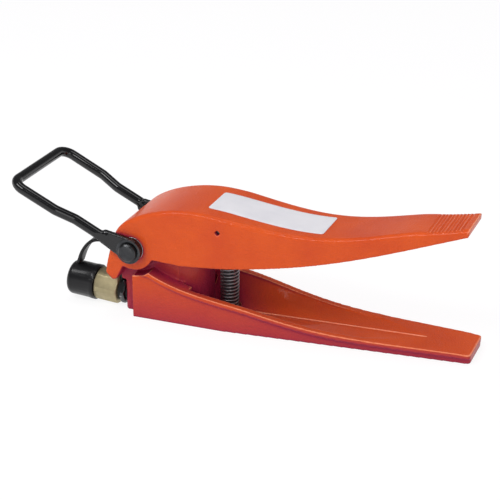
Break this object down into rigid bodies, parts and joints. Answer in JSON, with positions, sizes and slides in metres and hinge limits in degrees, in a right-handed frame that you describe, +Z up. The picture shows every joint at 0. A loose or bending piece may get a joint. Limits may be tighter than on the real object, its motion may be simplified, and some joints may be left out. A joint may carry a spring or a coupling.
{
  "type": "hydraulic spreader",
  "caption": "Hand-held hydraulic jaw spreader: a hollow curved upper jaw hinged on a flat wedge-shaped lower jaw, with a return spring, bail handle and oil coupler.",
  "frame": {"origin": "on the base plane right below the hinge pin's axis, half way across the width", "axes": "+X along the jaws from the hinge to the tips, +Y to the far side, +Z up; the base stands on z = 0"},
  "size_m": [0.4922, 0.125, 0.144],
  "materials": {
    "orange_casting": "glossy paint over a slightly rough casting",
    "hardened_steel": "ground, hardened",
    "chromed_steel": "polished",
    "black_seal": "matt",
    "wear_polymer": "matt",
    "bearing_bronze": "machined",
    "black_pin_steel": "black oxide with bright edges",
    "zinc_steel": "zinc plated",
    "black_handle_paint": "glossy black paint",
    "spring_steel": "oiled wire",
    "black_screw_steel": "black oxide",
    "black_adapter_steel": "black oxide",
    "coupler_brass": "dull yellow plating",
    "black_cap_rubber": "semi-gloss moulded",
    "black_strap_rubber": "semi-gloss moulded",
    "white_label": "bare glossy film"
  },
  "bodies": {
    "lower_body": {"lower_jaw": "orange_casting", "hinge_pin": "black_pin_steel", "retaining_rings": "black_pin_steel", "thrust_washers": "bearing_bronze", "handle_washers": "zinc_steel", "lower_bush": "bearing_bronze", "guide_sleeve": "bearing_bronze", "wiper_ring": "black_seal", "spring_plug": "zinc_steel", "spring_screw": "black_screw_steel", "inlet_adapter": "black_adapter_steel", "inlet_seal": "black_seal", "coupler_body": "coupler_brass", "cap_strap": "black_strap_rubber", "poppet_spring": "spring_steel"},
    "upper_body": {"upper_jaw": "orange_casting", "upper_bushes": "bearing_bronze", "thrust_pad": "hardened_steel", "spring_anchor_pin": "spring_steel", "label_plate": "white_label", "return_spring": "spring_steel"},
    "plunger_body": {"plunger": "chromed_steel", "plunger_seal": "black_seal", "plunger_wear_ring": "wear_polymer"},
    "handle_body": {"carrying_handle": "black_handle_paint"},
    "poppet_body": {"coupler_poppet": "zinc_steel"},
    "cap_body": {"dust_cap": "black_cap_rubber"}
  },
  "joints": [
    {"name": "jaw_hinge", "type": "hinge", "parent": "lower_body", "child": "upper_body", "pos_m": [0, 0, 0.078], "axis": [0, -1, 0], "range_deg": [-20, 24.5], "deforming": ["return_spring"]},
    {"name": "plunger_slide", "type": "slide", "parent": "lower_body", "child": "plunger_body", "axis": [0, 0, 1], "range_m": [-0.0162, 0.0199]},
    {"name": "handle_hinge", "type": "hinge", "parent": "lower_body", "child": "handle_body", "pos_m": [0, 0, 0.078], "axis": [0, 1, 0], "range_deg": [-50, 100]},
    {"name": "poppet_slide", "type": "slide", "parent": "lower_body", "child": "poppet_body", "axis": [0.9969, 0, -0.0785], "range_m": [0, 0.0025], "stiffness_N_per_m": 800, "springref_m": -0.002, "deforming": ["poppet_spring"]},
    {"name": "cap_pull", "type": "slide", "parent": "lower_body", "child": "cap_body", "axis": [-0.9969, 0, 0.0785], "range_m": [0, 0.02]}
  ],
  "couplings": [
    {"joint": "plunger_slide", "follows": "jaw_hinge", "m_per_rad": 0.04462}
  ]
}
